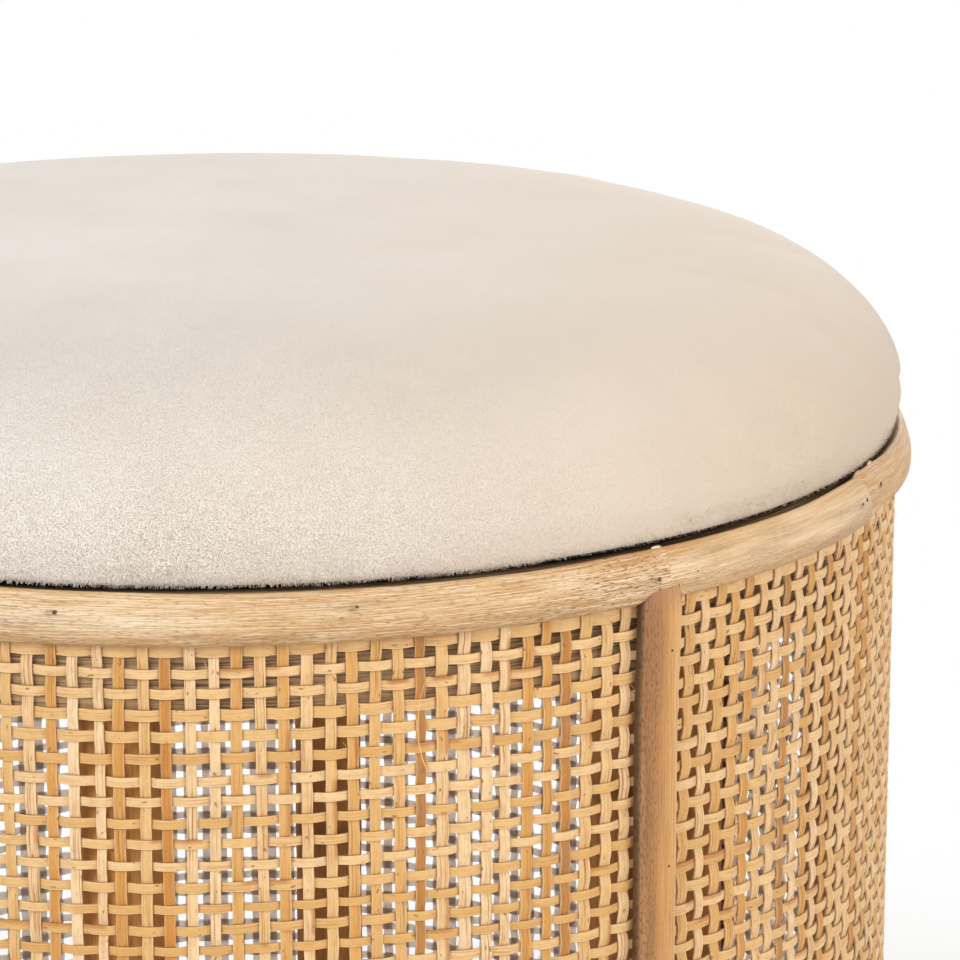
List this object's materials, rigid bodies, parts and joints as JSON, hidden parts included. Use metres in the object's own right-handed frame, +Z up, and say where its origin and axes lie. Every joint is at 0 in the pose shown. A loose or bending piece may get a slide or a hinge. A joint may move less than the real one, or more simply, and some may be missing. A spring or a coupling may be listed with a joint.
{
  "type": "storage stool",
  "caption": "Round drum stool with see-through woven cane walls on a rattan frame, and a crowned padded seat that lifts off a storage space.",
  "frame": {"origin": "centre of the drum's foot, on the floor", "axes": "+Z up through the middle of the seat, -Y towards the front seen in the picture, +X to its right"},
  "size_m": [0.4, 0.4002, 0.46],
  "materials": {
    "peeled_rattan": "peeled rattan, half-round, sanded and clear sealed",
    "brown_rattan": "split rattan core, tan brown, satin",
    "frame_rattan": "round rattan pole, golden brown, matt",
    "bent_wood": "raw bent wood with dark grain, matt",
    "woven_cane": "woven cane strands, honey, satin",
    "plywood": "raw plywood",
    "velvet": "short-nap velvet, cream, over foam",
    "dust_cloth": "black non-woven cloth",
    "pin_steel": "dulled steel pins"
  },
  "bodies": {
    "drum": {"inner_bottom_hoop": "bent_wood", "inner_top_hoop": "bent_wood", "outer_bottom_hoop": "peeled_rattan", "outer_top_hoop": "peeled_rattan", "outer_top_hoop_filler": "peeled_rattan", "post_1": "frame_rattan", "post_2": "frame_rattan", "post_3": "frame_rattan", "post_4": "frame_rattan", "post_5": "frame_rattan", "post_6": "frame_rattan", "post_7": "frame_rattan", "post_8": "frame_rattan", "batten_1": "brown_rattan", "batten_2": "brown_rattan", "batten_3": "brown_rattan", "batten_4": "brown_rattan", "cane_panel_1": "woven_cane", "cane_panel_2": "woven_cane", "cane_panel_3": "woven_cane", "cane_panel_4": "woven_cane", "bottom_board": "plywood", "top_hoop_pin_1": "pin_steel", "top_hoop_pin_2": "pin_steel", "top_hoop_pin_3": "pin_steel", "top_hoop_pin_4": "pin_steel", "top_hoop_pin_5": "pin_steel", "top_hoop_pin_6": "pin_steel", "top_hoop_pin_7": "pin_steel", "top_hoop_pin_8": "pin_steel", "top_hoop_pin_9": "pin_steel", "top_hoop_pin_10": "pin_steel", "top_hoop_pin_11": "pin_steel", "top_hoop_pin_12": "pin_steel", "top_hoop_pin_13": "pin_steel", "filler_pin_1": "pin_steel", "filler_pin_2": "pin_steel", "bottom_hoop_pin_1": "pin_steel", "bottom_hoop_pin_2": "pin_steel", "bottom_hoop_pin_3": "pin_steel", "bottom_hoop_pin_4": "pin_steel", "bottom_hoop_pin_5": "pin_steel", "bottom_hoop_pin_6": "pin_steel", "bottom_hoop_pin_7": "pin_steel", "bottom_hoop_pin_8": "pin_steel", "batten_1_upper_pin": "pin_steel", "batten_1_lower_pin": "pin_steel", "batten_2_upper_pin": "pin_steel", "batten_2_lower_pin": "pin_steel", "batten_3_upper_pin": "pin_steel", "batten_3_lower_pin": "pin_steel", "batten_4_upper_pin": "pin_steel", "batten_4_lower_pin": "pin_steel"},
    "lid": {"seat_pad": "velvet", "seat_board": "plywood", "seat_dust_cover": "dust_cloth", "seat_cleat_1": "bent_wood", "seat_cleat_2": "bent_wood", "seat_cleat_3": "bent_wood", "seat_cleat_4": "bent_wood"}
  },
  "joints": [
    {"name": "seat_lift_off", "type": "slide", "parent": "drum", "child": "lid", "axis": [0, 0, 1], "range_m": [0, 0.15]}
  ]
}
